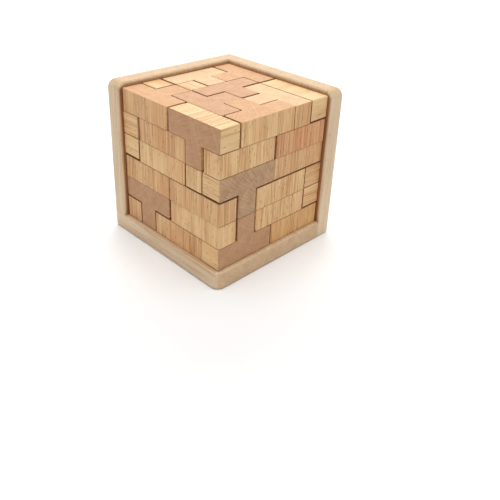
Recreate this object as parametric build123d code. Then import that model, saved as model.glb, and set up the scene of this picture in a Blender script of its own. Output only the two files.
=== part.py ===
from build123d import *
import os

os.makedirs("parts", exist_ok=True)

# A packing puzzle: 54 equal T-shaped wooden blocks fill a cube inside a tray of three panels.
# +X is to the right, +Y to the back, +Z up. The front (-Y), right (+X) and top (+Z) are open.
# The origin is the centre of the tray's footprint, on the surface that it stands on.

# ---- driving dimensions, mm ---------------------------------------------------------------
cells_per_side = 6            # the packed cube is six cells long, deep and high
block_thickness = 14.7        # thickness of a block, which is also the width of its bar and stem
block_gap = 0.3               # play between two neighbouring blocks
block_edge_radius = 0.8       # rounding of the block edges that run along the grain
panel_thickness = 12.0        # thickness of the base and of both walls
panel_lip = 2.8               # how far each panel reaches past the open faces of the cube
wall_clearance = 0.2          # extra play between the packed cube and the two walls
free_corner_radius = 5.5      # the one rounded corner of each panel that joins nothing
rim_radius = 1.8              # rounding along the open edges of the panels
seam_edge_radius = 0.7        # rounding along the outer edges where two panels are glued

# ---- sizes that follow ----------------------------------------------------------------------
cell = block_thickness + block_gap
cube_side = cells_per_side * cell
tray_side = panel_thickness + wall_clearance + cube_side + panel_lip
tray_height = panel_thickness + cube_side + panel_lip
tray_edge = tray_side / 2
cube_left = -tray_edge + panel_thickness + wall_clearance
cube_front = tray_edge - panel_thickness - wall_clearance - cube_side
cube_bottom = panel_thickness

DIRECTIONS = {
    "+X": Vector(1, 0, 0),
    "-X": Vector(-1, 0, 0),
    "+Y": Vector(0, 1, 0),
    "-Y": Vector(0, -1, 0),
    "+Z": Vector(0, 0, 1),
    "-Z": Vector(0, 0, -1),
}

# Where each block lies: the axis that its bar runs along, the way its stem points, and the cell
# (column to the right, row to the back, layer up) that the middle of its bar fills.
BLOCKS = {
    1: ("X", "+Y", (1, 0, 5)),
    2: ("X", "-Z", (4, 0, 5)),
    3: ("Y", "+Z", (0, 1, 4)),
    4: ("Y", "-Z", (0, 1, 3)),
    5: ("X", "+Y", (2, 0, 4)),
    6: ("Y", "-X", (5, 1, 4)),
    7: ("X", "+Y", (2, 0, 3)),
    8: ("Y", "-X", (4, 1, 3)),
    9: ("Y", "-Z", (5, 1, 3)),
    10: ("X", "+Y", (1, 0, 2)),
    11: ("X", "+Y", (4, 0, 2)),
    12: ("X", "-Z", (1, 0, 1)),
    13: ("X", "+Y", (4, 0, 1)),
    14: ("Y", "+X", (0, 1, 0)),
    15: ("X", "+Y", (3, 0, 0)),
    16: ("Y", "+Z", (5, 1, 0)),
    17: ("Y", "-X", (5, 4, 4)),
    18: ("Y", "-X", (5, 4, 3)),
    19: ("Y", "-X", (5, 3, 2)),
    20: ("Y", "-X", (5, 3, 1)),
    21: ("Y", "-X", (5, 4, 0)),
    22: ("X", "+Z", (4, 5, 2)),
    23: ("X", "-Z", (4, 5, 1)),
    24: ("X", "-Y", (1, 5, 5)),
    25: ("X", "-Z", (4, 5, 5)),
    26: ("X", "-Y", (4, 4, 5)),
    27: ("Y", "+X", (2, 3, 5)),
    28: ("X", "+Y", (3, 1, 5)),
    29: ("Y", "-X", (5, 2, 5)),
    30: ("Y", "+X", (0, 3, 5)),
    31: ("X", "+Y", (1, 1, 1)),
    32: ("Y", "+X", (0, 3, 1)),
    33: ("Y", "+X", (0, 3, 2)),
    34: ("Y", "+X", (0, 4, 0)),
    35: ("Y", "+X", (0, 4, 3)),
    36: ("Y", "+X", (0, 4, 4)),
    37: ("X", "-Y", (1, 5, 1)),
    38: ("X", "-Y", (1, 5, 2)),
    39: ("Y", "+Z", (1, 2, 4)),
    40: ("X", "-Y", (2, 2, 0)),
    41: ("X", "+Z", (2, 3, 0)),
    42: ("X", "-Y", (2, 5, 0)),
    43: ("X", "-Y", (2, 5, 3)),
    44: ("X", "-Y", (2, 5, 4)),
    45: ("Y", "-X", (3, 2, 1)),
    46: ("X", "-Y", (3, 2, 4)),
    47: ("X", "-Y", (3, 3, 3)),
    48: ("X", "+Y", (3, 3, 4)),
    49: ("X", "-Z", (3, 4, 1)),
    50: ("X", "+Z", (3, 4, 2)),
    51: ("Y", "+X", (3, 2, 2)),
    52: ("Y", "+Z", (4, 2, 0)),
    53: ("Y", "+X", (1, 2, 3)),
    54: ("Y", "-X", (2, 2, 2)),
}

# The blocks are sawn by hand, so some are short of their full size. Each entry is what one block
# lacks, in mm: on its outermost face that way, along the shoulders beside its stem ("shoulder"),
# or on both sides of its stem ("stem").
SHORT_BY = {
    1: {"+X": 0.6, "+Y": 0.4, "+Z": 0.2, "shoulder": 0.5},
    2: {"-X": 0.6, "+Y": 0.5, "stem": 0.6},
    3: {"stem": 0.3, "+X": 0.3},
    4: {"shoulder": 1.0},
    5: {"-X": 1.0, "-Y": 0.2},
    6: {"shoulder": 1.3, "+X": 0.2, "+Y": 0.6},
    7: {"+X": 0.6, "-Y": 0.3},
    8: {"shoulder": 0.5, "+X": 0.6, "-Z": 0.8},
    9: {"shoulder": 0.9, "-X": 0.5, "stem": 0.4},
    11: {"shoulder": 0.7},
    12: {"+X": 0.5, "-Y": 0.2, "shoulder": 0.8, "stem": 0.2},
    13: {"-X": 0.5, "-Y": 0.3, "shoulder": 0.6},
    14: {"shoulder": 0.7},
    16: {"+Y": 0.6, "stem": 0.4},
    17: {"-Y": 0.6},
    18: {"-Z": 0.8, "+X": 0.3},
    19: {"-Y": 0.8, "+X": 0.2},
    20: {"-Y": 0.8, "+X": 0.3},
    21: {"-Y": 0.5, "+X": 0.2},
    22: {"+X": 0.3},
    23: {"shoulder": 0.6, "+X": 0.2},
    24: {"+X": 0.5, "shoulder": 0.5},
    25: {"-X": 0.5, "shoulder": 0.7},
    26: {"-X": 0.5, "+Z": 0.2, "stem": 0.4},
    27: {"-X": 0.4, "+X": 0.5, "-Y": 0.6, "shoulder": 0.7},
    28: {"+X": 0.5, "+Z": 0.2},
    29: {"-Y": 0.8, "shoulder": 0.4},
    30: {"-Y": 0.6, "+Y": 0.4, "+Z": 0.1},
    39: {"stem": 0.4, "+Z": 0.2},
}


def opposite(direction):
    """The name of the direction that points the other way."""
    sign = "-" if direction[0] == "+" else "+"
    return sign + direction[1]


def block_outline(bar_start, bar_end, bar_back, shoulder, stem_side, stem_tip):
    """The T: its bar runs along X, its stem points along +Y, its outer corners are rounded."""
    corners = [
        (bar_start, bar_back),
        (bar_end, bar_back),
        (bar_end, shoulder),
        (stem_side, shoulder),
        (stem_side, stem_tip),
        (-stem_side, stem_tip),
        (-stem_side, shoulder),
        (bar_start, shoulder),
    ]
    outline = make_face(Polyline(*corners, close=True))
    nook = [Vector(-stem_side, shoulder), Vector(stem_side, shoulder)]
    outer_corners = [
        vertex
        for vertex in outline.vertices()
        if min((Vector(vertex) - point).length for point in nook) > block_edge_radius / 10
    ]
    return fillet(outer_corners, block_edge_radius)


def t_block(bar_axis, stem_way, middle_cell, short_by):
    """One block, in its place in the cube, with its grain across the T."""
    bar_way = "+" + bar_axis
    bar = DIRECTIONS[bar_way]
    stem = DIRECTIONS[stem_way]
    grain = bar.cross(stem)
    grain_way = next(name for name, way in DIRECTIONS.items() if (way - grain).length < 0.5)

    def lacks(place):
        return short_by.get(place, 0.0)

    half = block_thickness / 2
    far = half + cell
    outline = block_outline(
        bar_start=-far + lacks(opposite(bar_way)),
        bar_end=far - lacks(bar_way),
        bar_back=-half + lacks(opposite(stem_way)),
        shoulder=half - lacks("shoulder"),
        stem_side=half - lacks("stem"),
        stem_tip=far - lacks(stem_way),
    )
    thickness = block_thickness - lacks(grain_way) - lacks(opposite(grain_way))
    first_face = -half + lacks(opposite(grain_way))

    column, row, layer = middle_cell
    middle = Vector(
        cube_left + (column + 0.5) * cell,
        cube_front + (row + 0.5) * cell,
        cube_bottom + (layer + 0.5) * cell,
    )
    place = Plane(origin=middle, x_dir=bar, z_dir=grain)
    return place * Pos(0, 0, first_face) * extrude(outline, amount=thickness)


def box_between(low, high):
    """A box given by two opposite corners."""
    size = [high[axis] - low[axis] for axis in range(3)]
    centre = [(high[axis] + low[axis]) / 2 for axis in range(3)]
    return Pos(*centre) * Box(*size)


def edges_on(solid, **places):
    """The edges of a solid that lie wholly at the given x, y or z."""
    axes = {"x": 0, "y": 1, "z": 2}
    near = panel_thickness / 1000
    found = []
    for edge in solid.edges():
        box = edge.bounding_box()
        low = tuple(box.min)
        high = tuple(box.max)
        if all(
            abs(low[axes[axis]] - place) < near and abs(high[axes[axis]] - place) < near
            for axis, place in places.items()
        ):
            found.append(edge)
    return found


def tray():
    """The whole tray, a base, a left wall and a back wall, before it is cut into its panels."""
    left = front = -tray_edge
    right = back = tray_edge
    outside = box_between((left, front, 0), (right, back, tray_height))
    beyond = tray_side
    hollow = box_between(
        (left + panel_thickness, front - beyond, panel_thickness),
        (right + beyond, back - panel_thickness, tray_height + beyond),
    )
    shell = outside - hollow
    free_corners = (
        edges_on(shell, x=right, y=front)
        + edges_on(shell, y=front, z=tray_height)
        + edges_on(shell, x=right, z=tray_height)
    )
    shell = fillet(free_corners, free_corner_radius)
    rims = edges_on(shell, y=front) + edges_on(shell, x=right) + edges_on(shell, z=tray_height)
    shell = fillet(rims, min(rim_radius, 0.4 * panel_thickness))
    seams = (
        edges_on(shell, x=left, z=0)
        + edges_on(shell, x=left, y=back)
        + edges_on(shell, y=back, z=0)
    )
    return fillet(seams, seam_edge_radius)


def base_panel(shell):
    """The panel that everything stands on: the left wall stands on it, the back wall behind it."""
    room = box_between(
        (-tray_edge, -tray_edge, 0),
        (tray_edge, tray_edge - panel_thickness, panel_thickness),
    )
    return shell & room


def left_wall(shell):
    """The panel at the left, which stands on the base and butts against the back wall."""
    room = box_between(
        (-tray_edge, -tray_edge, panel_thickness),
        (panel_thickness - tray_edge, tray_edge - panel_thickness, tray_height),
    )
    return shell & room


def back_wall(shell):
    """The panel at the back, as wide as the tray and as high as it."""
    room = box_between(
        (-tray_edge, tray_edge - panel_thickness, 0),
        (tray_edge, tray_edge, tray_height),
    )
    return shell & room


def write(name, solid):
    """One solid as one file, named after its piece."""
    solid = solid.solids()[0] if len(solid.solids()) == 1 else solid
    solid.label = name
    export_step(solid, os.path.join("parts", name + ".step"))


shell = tray()
write("base_panel", base_panel(shell))
write("left_wall", left_wall(shell))
write("back_wall", back_wall(shell))
for number, (bar_axis, stem_way, middle_cell) in BLOCKS.items():
    block = t_block(bar_axis, stem_way, middle_cell, SHORT_BY.get(number, {}))
    write(f"t_block_{number:02d}", block)
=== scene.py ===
import math
import random
from typing import NamedTuple

import bpy
from mathutils import Euler, Matrix, Vector


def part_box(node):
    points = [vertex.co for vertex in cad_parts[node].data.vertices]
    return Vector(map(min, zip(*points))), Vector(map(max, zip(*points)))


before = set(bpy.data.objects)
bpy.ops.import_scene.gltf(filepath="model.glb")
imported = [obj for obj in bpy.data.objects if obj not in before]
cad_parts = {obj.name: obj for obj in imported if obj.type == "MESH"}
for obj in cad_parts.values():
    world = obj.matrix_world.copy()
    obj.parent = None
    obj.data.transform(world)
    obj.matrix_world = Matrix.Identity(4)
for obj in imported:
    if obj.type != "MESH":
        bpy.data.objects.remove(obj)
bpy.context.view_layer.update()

# A cube of T-shaped wooden blocks in an open tray. Lengths are metres unless a name says mm.

TRAY_NODES = ("base_panel", "left_wall", "back_wall")
BLOCK_NODES = sorted(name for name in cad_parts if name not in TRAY_NODES)
MM = 0.001

# ---- camera ---------------------------------------------------------------------------------
CAMERA_BEARING = math.radians(46.71)       # round the cube, from the front towards the right
CAMERA_ELEVATION = math.radians(24.50)
CAMERA_DISTANCE = 0.3875                   # from the middle of the cube
VIEW_BEARING = math.radians(43.77)         # the way the lens points back from its subject
VIEW_ELEVATION = math.radians(27.49)
VIEW_ROLL = math.radians(2.73)
LENS_MM = 42.78
LENS_SHIFT_UP = -0.12                      # below 0 the cube stands higher in the frame
SENSOR_MM = 36.0


def direction(bearing, elevation):
    """A unit vector, its bearing counted from -Y towards +X."""
    level = math.cos(elevation)
    return Vector((math.sin(bearing) * level, -math.cos(bearing) * level, math.sin(elevation)))


def cube_box():
    """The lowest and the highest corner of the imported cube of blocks."""
    boxes = [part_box(name) for name in BLOCK_NODES]
    low = Vector([min(low[axis] for low, high in boxes) for axis in range(3)])
    high = Vector([max(high[axis] for low, high in boxes) for axis in range(3)])
    return low, high


CUBE_LOW, CUBE_HIGH = cube_box()
CUBE_MIDDLE = (CUBE_LOW + CUBE_HIGH) / 2


def add_camera():
    """The camera, with its lens shifted towards the subject and no depth of field."""
    back = direction(VIEW_BEARING, VIEW_ELEVATION)
    right = Vector((0, 0, 1)).cross(back).normalized()
    up = back.cross(right)
    rolled_right = math.cos(VIEW_ROLL) * right + math.sin(VIEW_ROLL) * up
    rolled_up = back.cross(rolled_right)
    matrix = Matrix((rolled_right, rolled_up, back)).transposed().to_4x4()
    matrix.translation = CUBE_MIDDLE + CAMERA_DISTANCE * direction(
        CAMERA_BEARING, CAMERA_ELEVATION
    )
    data = bpy.data.cameras.new("camera")
    data.sensor_width = SENSOR_MM
    data.lens = LENS_MM
    data.shift_y = LENS_SHIFT_UP
    data.clip_start = 0.01
    camera = bpy.data.objects.new("camera", data)
    camera.matrix_world = matrix
    bpy.context.scene.collection.objects.link(camera)
    bpy.context.scene.camera = camera


# ---- node helpers ---------------------------------------------------------------------------
class Nodes:
    """Short calls that add nodes to one tree and link them."""

    def __init__(self, tree):
        self.tree = tree

    def feed(self, socket, value):
        if isinstance(value, bpy.types.NodeSocket):
            self.tree.links.new(value, socket)
        else:
            socket.default_value = value

    def add(self, kind, inputs=None, **settings):
        node = self.tree.nodes.new(kind)
        for name, value in settings.items():
            setattr(node, name, value)
        for name, value in (inputs or {}).items():
            self.feed(node.inputs[name], value)
        return node

    def math(self, operation, *values):
        node = self.add("ShaderNodeMath", operation=operation)
        for socket, value in zip(node.inputs, values):
            self.feed(socket, value)
        return node.outputs[0]

    def ranged(self, value, low, high, to_low=0.0, to_high=1.0):
        node = self.add("ShaderNodeMapRange", {"Value": value}, interpolation_type="SMOOTHSTEP")
        node.inputs["From Min"].default_value = low
        node.inputs["From Max"].default_value = high
        node.inputs["To Min"].default_value = to_low
        node.inputs["To Max"].default_value = to_high
        return node.outputs["Result"]

    def mix(self, factor, first, second, blend="MIX"):
        node = self.add("ShaderNodeMix", data_type="RGBA", blend_type=blend)
        colours = [socket for socket in node.inputs if socket.type == "RGBA"]
        self.feed(node.inputs["Factor"], factor)
        self.feed(colours[0], first)
        self.feed(colours[1], second)
        return next(socket for socket in node.outputs if socket.type == "RGBA")

    def tinted(self, colour, tint, amount):
        """The colour, multiplied by the tint as far as amount says."""
        return self.mix(amount, colour, self.mix(1.0, colour, tint, "MULTIPLY"))

    def stretched(self, vector, scale):
        node = self.add("ShaderNodeMapping", {"Vector": vector, "Scale": scale})
        return node.outputs["Vector"]

    def noise(self, vector, detail):
        node = self.add("ShaderNodeTexNoise", {"Vector": vector, "Scale": 1.0})
        node.inputs["Detail"].default_value = detail
        return node.outputs["Fac"]

    def cells(self, vector):
        node = self.add("ShaderNodeTexVoronoi", {"Vector": vector, "Scale": 1.0})
        return node.outputs["Distance"]


def srgb(red, green, blue):
    """A linear colour from the 0 to 255 values of a paint chart."""
    def linear(value):
        value /= 255
        return value / 12.92 if value <= 0.04045 else ((value + 0.055) / 1.055) ** 2.4
    return (linear(red), linear(green), linear(blue), 1.0)


# ---- wood -----------------------------------------------------------------------------------
# Long-grain tones: the pale wood between the streaks, and the streaks themselves.
SIDE_TONES = {
    "cream": (srgb(238, 204, 152), srgb(208, 162, 104)),
    "light": (srgb(238, 200, 146), srgb(192, 136, 82)),
    "tan": (srgb(232, 189, 136), srgb(182, 124, 74)),
    "honey": (srgb(231, 184, 122), srgb(178, 114, 58)),
    "rust": (srgb(230, 178, 126), srgb(172, 104, 64)),
}
# End-grain tones: the wood between the pores, and its darker clouds.
END_TONES = {
    "cream": (srgb(236, 202, 160), srgb(214, 172, 127)),
    "peach": (srgb(226, 180, 136), srgb(200, 149, 104)),
    "rose": (srgb(218, 172, 134), srgb(192, 142, 102)),
    "mauve": (srgb(204, 160, 120), srgb(178, 131, 94)),
    "grey": (srgb(206, 168, 130), srgb(162, 122, 88)),
}
# The tones of the blocks that show, side then end grain; the hidden ones take theirs in turn.
BLOCK_TONES = {
    1: ("tan", "peach"),
    2: ("cream", "mauve"),
    3: ("light", "cream"),
    4: ("cream", "peach"),
    5: ("tan", "peach"),
    6: ("light", "peach"),
    7: ("light", "peach"),
    8: ("light", "peach"),
    9: ("light", "grey"),
    10: ("tan", "peach"),
    11: ("tan", "mauve"),
    12: ("tan", "mauve"),
    13: ("light", "peach"),
    14: ("tan", "peach"),
    15: ("tan", "peach"),
    16: ("light", "mauve"),
    17: ("rust", "rose"),
    18: ("tan", "peach"),
    19: ("light", "peach"),
    20: ("light", "peach"),
    21: ("honey", "peach"),
    22: ("tan", "rose"),
    23: ("light", "peach"),
    24: ("tan", "peach"),
    25: ("cream", "peach"),
    26: ("tan", "cream"),
    27: ("tan", "rose"),
    28: ("tan", "rose"),
    29: ("light", "peach"),
    30: ("light", "cream"),
    39: ("light", "peach"),
}
# Tints multiply the wood's own colour. The seam and corner tints are painted shade; the edge tint
# is partly wear, partly painted shade.
PORE_TINT = srgb(150, 100, 62)
BLUSH_TINT = srgb(252, 234, 220)
SEAM_SHADE_TINT = srgb(148, 96, 56)        # painted shade between the blocks
CORNER_SHADE_TINT = srgb(182, 132, 82)     # painted shade in the corners of the tray
EDGE_TINT = srgb(206, 160, 118)
GRAIN_TURNS = {0: (0, math.pi / 2), 1: (math.pi / 2, 0), 2: (0, 0)}   # the grain axis onto Z

# Painted shade in crevices, between the blocks and in the tray's corners.
PAINTED_SHADE_AMOUNT = 0.95
FLOOR_FADE_MM = (2.0, 9.0)           # no painted shade where the tray stands on the floor
OPEN_CORNER_MM = (-0.85, 1.15)       # from the cube's top: above it a corner gets less painted shade
OPEN_CORNER_SHADE = 0.45
UPWARD_FACE_SHADE = 0.25                    # the share of painted shade left on a surface that faces up, where the light falls from above
# Edges darken, partly with wear and partly as painted shade on the rounded edges.
EDGE_WIDTH_MM = 0.5
EDGE_WEAR_AND_SHADE = 0.3
BUMP_HEIGHT_MM = 0.12
BLOCK_BEVEL_MM = 0.25
TRAY_BEVEL_MM = 0.15
SHARP_ANGLE = math.radians(35)       # an edge that turns more than this is softened
WELD_MM = 0.002
RING_SWAY_MM = 6.0
RINGS_PER_MM = 0.5
RAYS_PER_MM = 1.6
LOG_LENGTH_MM = 500
TRAY_SEED = 100
ROUGHNESS = 0.48
SHEEN = 0.04


class Figure(NamedTuple):
    """A noise drawn out along the grain, in features per mm, that rises to 1 from low to high."""
    across: float
    along: float
    low: float
    high: float
    detail: float = 1.0


BROAD_STREAKS = Figure(0.35, 0.012, 0.35, 0.65)
NARROW_STREAKS = Figure(1.25, 0.02, 0.46, 0.64)
HAIR_STREAKS = Figure(2.3, 0.04, 0.46, 0.64)
STREAK_PATCHES = Figure(0.13, 0.02, 0.25, 0.55)
BLUSH_PATCHES = Figure(0.09, 0.01, 0.45, 0.7)
END_CLOUDS = Figure(0.16, 0.03, 0.35, 0.65, detail=2.0)
END_SPECKS = Figure(3.0, 0.3, 0.4, 0.65)


class Wood(NamedTuple):
    """How one piece of wood looks.

    side and end are the pale and the dark tone with the grain and across it. Painted shade
    darkens the wood where other surfaces stand within crevice_mm: it begins where crevice_open of
    the sky is left in sight and is deepest at crevice_full.
    """
    side: tuple
    end: tuple
    streaks: float
    pores: float
    blush: float
    gloss: float
    pith_mm: float
    crevice_mm: float
    crevice_open: float
    crevice_full: float
    crevice_shade_tint: tuple


def wood_space(nodes, grain_axis, middle, rng, pith_mm):
    """Millimetres in the log that the piece was cut from: Z along the grain, the pith at 0, 0."""
    turn_x, turn_y = GRAIN_TURNS[grain_axis]
    turn = Euler((turn_x, turn_y, rng.uniform(0, 2 * math.pi)))
    middle_in_log = Vector((pith_mm, 0, rng.uniform(0, LOG_LENGTH_MM)))
    shift = middle_in_log - turn.to_matrix() @ (middle / MM)
    place = nodes.add("ShaderNodeTexCoord")
    mapping = nodes.add("ShaderNodeMapping", {"Vector": place.outputs["Object"]})
    mapping.inputs["Scale"].default_value = (1 / MM, 1 / MM, 1 / MM)
    mapping.inputs["Rotation"].default_value = turn
    mapping.inputs["Location"].default_value = shift
    return mapping.outputs["Vector"]


def end_grain_mask(nodes, grain_axis):
    """1 where the surface is cut across the grain, 0 where it runs along it."""
    place = nodes.add("ShaderNodeTexCoord")
    parts = nodes.add("ShaderNodeSeparateXYZ", {"Vector": place.outputs["Normal"]})
    return nodes.ranged(nodes.math("ABSOLUTE", parts.outputs[grain_axis]), 0.6, 0.9)


def painted_shade_mask(nodes, wood):
    """How far painted shade darkens the wood: 1 deep between two pieces, less where the surface
    faces up or the corner is open.
    """
    floor_low, floor_high = (level * MM for level in FLOOR_FADE_MM)
    top_low, top_high = (CUBE_HIGH[2] + level * MM for level in OPEN_CORNER_MM)
    crevice = nodes.add("ShaderNodeAmbientOcclusion", samples=8)
    crevice.inputs["Distance"].default_value = wood.crevice_mm * MM
    hidden = nodes.ranged(crevice.outputs["AO"], wood.crevice_open, wood.crevice_full)
    place = nodes.add("ShaderNodeTexCoord")
    facing = nodes.add("ShaderNodeSeparateXYZ", {"Vector": place.outputs["Normal"]}).outputs[2]
    height = nodes.add("ShaderNodeSeparateXYZ", {"Vector": place.outputs["Object"]}).outputs[2]
    # A surface that faces up keeps less painted shade, since the light falls on it from above.
    facing_up_shade = nodes.ranged(facing, 0.3, 0.9, 1.0, UPWARD_FACE_SHADE)
    off_floor = nodes.ranged(height, floor_low, floor_high)
    above_cube = nodes.ranged(height, top_low, top_high, 1.0, OPEN_CORNER_SHADE)
    kept = nodes.math("MULTIPLY", nodes.math("MULTIPLY", facing_up_shade, off_floor), above_cube)
    return nodes.math("MULTIPLY", hidden, kept)


def ring_space(nodes, log):
    """The distance from the pith and the way round it, both in mm, a little uneven."""
    sway = nodes.noise(nodes.stretched(log, (0.06, 0.06, 0.01)), detail=1.0)
    parts = nodes.add("ShaderNodeSeparateXYZ", {"Vector": log})
    across, along = parts.outputs[0], parts.outputs[1]
    squares = nodes.math("ADD", nodes.math("MULTIPLY", across, across),
                         nodes.math("MULTIPLY", along, along))
    radius = nodes.math("MULTIPLY_ADD", sway, RING_SWAY_MM, nodes.math("SQRT", squares))
    angle = nodes.math("ARCTAN2", along, across)
    return radius, angle


def weighted(nodes, *parts):
    """The sum of values, each with its own weight."""
    total = nodes.math("MULTIPLY", *parts[0])
    for value, weight in parts[1:]:
        total = nodes.math("MULTIPLY_ADD", value, weight, total)
    return total


def figure_in(nodes, log, figure):
    """The figure as a value between 0 and 1 all through the log."""
    space = nodes.stretched(log, (figure.across, figure.across, figure.along))
    return nodes.ranged(nodes.noise(space, figure.detail), figure.low, figure.high)


def long_grain_colour(nodes, log, rings, wood):
    """Streaks of three widths and dark pores, all drawn out along the grain."""
    broad = figure_in(nodes, log, BROAD_STREAKS)
    narrow = figure_in(nodes, log, NARROW_STREAKS)
    hair = figure_in(nodes, log, HAIR_STREAKS)
    patch = figure_in(nodes, log, STREAK_PATCHES)
    lines = nodes.math("MULTIPLY", patch, weighted(nodes, (narrow, 0.5), (hair, 0.55)))
    amount = weighted(nodes, (rings, 0.1), (broad, 0.14), (lines, 0.95))
    colour = nodes.mix(nodes.math("MULTIPLY", amount, wood.streaks), *wood.side)
    blush = nodes.math("MULTIPLY", figure_in(nodes, log, BLUSH_PATCHES), wood.blush)
    colour = nodes.tinted(colour, BLUSH_TINT, blush)
    dashes = nodes.ranged(nodes.cells(nodes.stretched(log, (0.8, 0.8, 0.14))), 0.22, 0.1)
    colour = nodes.tinted(colour, PORE_TINT, nodes.math("MULTIPLY", dashes, wood.pores))
    return colour, hair, dashes


def end_grain_colour(nodes, log, rings, radius, angle, wood):
    """Faint rings, fine rays across them and the open ends of the pores."""
    ray_line = nodes.add("ShaderNodeCombineXYZ", {
        "X": nodes.math("MULTIPLY", angle, RAYS_PER_MM * wood.pith_mm),
        "Y": nodes.math("MULTIPLY", radius, 0.1),
    })
    rays = nodes.ranged(nodes.noise(ray_line.outputs[0], 1.0), 0.4, 0.65)
    cloud = figure_in(nodes, log, END_CLOUDS)
    speck = figure_in(nodes, log, END_SPECKS)
    amount = weighted(nodes, (rings, 0.25), (rays, 0.35), (cloud, 0.25), (speck, 0.2))
    return nodes.mix(amount, *wood.end)


def edge_wear_and_shade(nodes):
    """Darkening along the edges, up to the edge amount set above, where the rounded normal leaves
    the surface's own: partly wear, partly painted shade.
    """
    rounded = nodes.add("ShaderNodeBevel", {"Radius": EDGE_WIDTH_MM * MM}, samples=4)
    surface = nodes.add("ShaderNodeNewGeometry")
    agreement = nodes.add("ShaderNodeVectorMath", operation="DOT_PRODUCT")
    nodes.feed(agreement.inputs[0], rounded.outputs[0])
    nodes.feed(agreement.inputs[1], surface.outputs["Normal"])
    return nodes.ranged(agreement.outputs["Value"], 0.99, 0.8, 0.0, EDGE_WEAR_AND_SHADE)


def wood_material(name, grain_axis, middle, rng, wood):
    """Sanded wood with streaks and pores along the grain, and rings and rays across it."""
    material = bpy.data.materials.new(name)
    material.use_nodes = True
    tree = material.node_tree
    tree.nodes.clear()
    nodes = Nodes(tree)
    log = wood_space(nodes, grain_axis, middle, rng, wood.pith_mm)
    radius, angle = ring_space(nodes, log)
    ring_line = nodes.add("ShaderNodeCombineXYZ", {
        "X": nodes.math("MULTIPLY", radius, RINGS_PER_MM),
    })
    rings = nodes.ranged(nodes.noise(ring_line.outputs[0], 2.0), 0.35, 0.65)

    along, hair, dashes = long_grain_colour(nodes, log, rings, wood)
    across = end_grain_colour(nodes, log, rings, radius, angle, wood)
    cut_across = end_grain_mask(nodes, grain_axis)
    colour = nodes.mix(cut_across, along, across)

    # Painted shade: the wood darkens in crevices and between pieces, where shade falls.
    painted_darkening = nodes.math("MULTIPLY", painted_shade_mask(nodes, wood), PAINTED_SHADE_AMOUNT)
    colour = nodes.tinted(colour, wood.crevice_shade_tint, painted_darkening)
    # Edge darkening, partly wear and partly painted shade on the rounded edges.
    colour = nodes.tinted(colour, EDGE_TINT, edge_wear_and_shade(nodes))

    rough = nodes.math("MULTIPLY_ADD", hair, 0.12, ROUGHNESS)
    rough = nodes.math("MULTIPLY_ADD", cut_across, 0.14, rough)
    height = nodes.math("MULTIPLY_ADD", hair, -0.3, nodes.math("SUBTRACT", 1.0, dashes))
    bump = nodes.add("ShaderNodeBump", {
        "Height": height,
        "Strength": 0.35,
        "Distance": BUMP_HEIGHT_MM * MM,
    })

    shader = nodes.add("ShaderNodeBsdfPrincipled", {
        "Base Color": colour,
        "Roughness": rough,
        "Normal": bump.outputs["Normal"],
    })
    shader.inputs["Specular IOR Level"].default_value = wood.gloss
    shader.inputs["Sheen Weight"].default_value = SHEEN
    output = nodes.add("ShaderNodeOutputMaterial")
    tree.links.new(shader.outputs[0], output.inputs["Surface"])
    return material


def soften_edges(node, width_mm):
    """The sawn edges of a CAD node, barely broken by sanding, with clean shading."""
    weld = node.modifiers.new("weld", "WELD")
    weld.merge_threshold = WELD_MM * MM
    bevel = node.modifiers.new("broken_edges", "BEVEL")
    bevel.width = width_mm * MM
    bevel.segments = 2
    bevel.limit_method = "ANGLE"
    bevel.angle_limit = SHARP_ANGLE
    node.modifiers.new("normals", "WEIGHTED_NORMAL")


def dress(name, material, bevel_mm):
    """Gives a CAD node its material, smooth shading and softened edges."""
    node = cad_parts[name]
    node.data.materials.clear()
    node.data.materials.append(material)
    for polygon in node.data.polygons:
        polygon.use_smooth = True
    soften_edges(node, bevel_mm)


def dress_blocks():
    """Each block in wood of its own, its grain square to the plane of the T."""
    side_names = list(SIDE_TONES)
    end_names = list(END_TONES)
    for name in BLOCK_NODES:
        number = int(name.rsplit("_", 1)[1])
        rng = random.Random(number)
        low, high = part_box(name)
        size = high - low
        grain_axis = min(range(3), key=lambda axis: size[axis])
        hidden = (side_names[number % len(side_names)], end_names[number % len(end_names)])
        side, end = BLOCK_TONES.get(number, hidden)
        streaks = rng.uniform(0.8, 1.2)
        wood = Wood(
            side=SIDE_TONES[side], end=END_TONES[end], streaks=streaks, pores=0.65 * streaks,
            blush=0.6, gloss=0.3, pith_mm=rng.uniform(35, 90),
            # The crevice settings give the painted shade between the blocks.
            crevice_mm=2.2, crevice_open=0.75, crevice_full=0.3,
            crevice_shade_tint=SEAM_SHADE_TINT,
        )
        material = wood_material("wood_" + name, grain_axis, (low + high) / 2, rng, wood)
        dress(name, material, BLOCK_BEVEL_MM)


TRAY_GRAIN = {"base_panel": 0, "left_wall": 2, "back_wall": 2}      # the axis of the grain
# The crevice settings give the painted shade in the tray's corners.
TRAY_WOOD = Wood(
    side=(srgb(226, 201, 166), srgb(192, 152, 108)),
    end=(srgb(220, 190, 150), srgb(196, 158, 116)),
    streaks=0.8, pores=0.3, blush=0.15, gloss=0.7, pith_mm=140,
    crevice_mm=5.0, crevice_open=0.99, crevice_full=0.78, crevice_shade_tint=CORNER_SHADE_TINT,
)


def dress_tray():
    """Each panel of the tray in its own piece of the same pale wood."""
    for number, (name, grain_axis) in enumerate(TRAY_GRAIN.items()):
        rng = random.Random(TRAY_SEED + number)
        low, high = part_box(name)
        material = wood_material("wood_" + name, grain_axis, (low + high) / 2, rng, TRAY_WOOD)
        dress(name, material, TRAY_BEVEL_MM)


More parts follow.
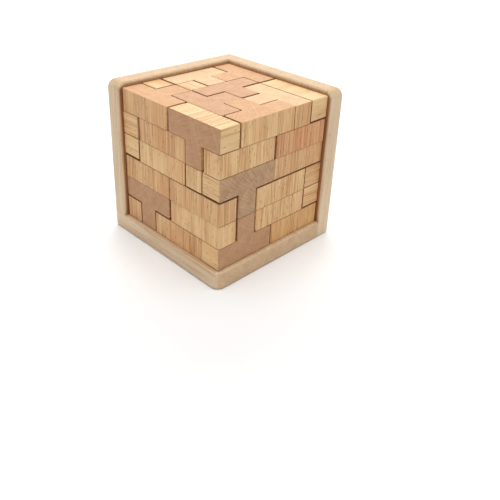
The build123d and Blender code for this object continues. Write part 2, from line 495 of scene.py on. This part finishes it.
# ---- stage ----------------------------------------------------------------------------------
FLOOR_HALF_WIDTH = 6.0
FLOOR_COLOUR = (0.9, 0.9, 0.9, 1)
SKY_STRENGTH = 0.37
OVERHEAD_STRENGTH = 2.25
OVERHEAD_SOFTNESS = math.radians(50)
OVERHEAD_LEAN = (math.radians(3), math.radians(4), 0)
BEHIND_DISTANCE = 1.2                      # a disc that faces the cube from behind and above
BEHIND_ELEVATION = math.radians(32)
BEHIND_SIZE = 1.2
BEHIND_WATTS = 8.0


def plain_material(name, colour, roughness):
    material = bpy.data.materials.new(name)
    material.use_nodes = True
    shader = material.node_tree.nodes["Principled BSDF"]
    shader.inputs["Base Color"].default_value = colour
    shader.inputs["Roughness"].default_value = roughness
    return material


def add_floor():
    half = FLOOR_HALF_WIDTH
    corners = [(-half, -half, 0), (half, -half, 0), (half, half, 0), (-half, half, 0)]
    mesh = bpy.data.meshes.new("floor")
    mesh.from_pydata(corners, [], [(0, 1, 2, 3)])
    mesh.materials.append(plain_material("floor", FLOOR_COLOUR, 0.9))
    floor = bpy.data.objects.new("floor", mesh)
    bpy.context.scene.collection.objects.link(floor)


def add_light(name, kind, energy):
    data = bpy.data.lights.new(name, kind)
    data.energy = energy
    light = bpy.data.objects.new(name, data)
    bpy.context.scene.collection.objects.link(light)
    return light


def add_lights():
    """A white room, a broad soft light overhead and a disc behind the cube."""
    world = bpy.data.worlds.new("studio")
    world.use_nodes = True
    background = world.node_tree.nodes["Background"]
    background.inputs["Color"].default_value = (1, 1, 1, 1)
    background.inputs["Strength"].default_value = SKY_STRENGTH
    bpy.context.scene.world = world
    bpy.context.scene.view_settings.view_transform = "Standard"

    overhead = add_light("overhead", "SUN", OVERHEAD_STRENGTH)
    overhead.data.angle = OVERHEAD_SOFTNESS
    overhead.rotation_euler = OVERHEAD_LEAN

    behind = add_light("behind", "AREA", BEHIND_WATTS)
    behind.data.shape = "DISK"
    behind.data.size = BEHIND_SIZE
    away = -direction(CAMERA_BEARING, -BEHIND_ELEVATION)
    behind.location = CUBE_MIDDLE + BEHIND_DISTANCE * away
    behind.rotation_euler = away.to_track_quat("Z", "Y").to_euler()


add_camera()
add_floor()
add_lights()
dress_blocks()
dress_tray()
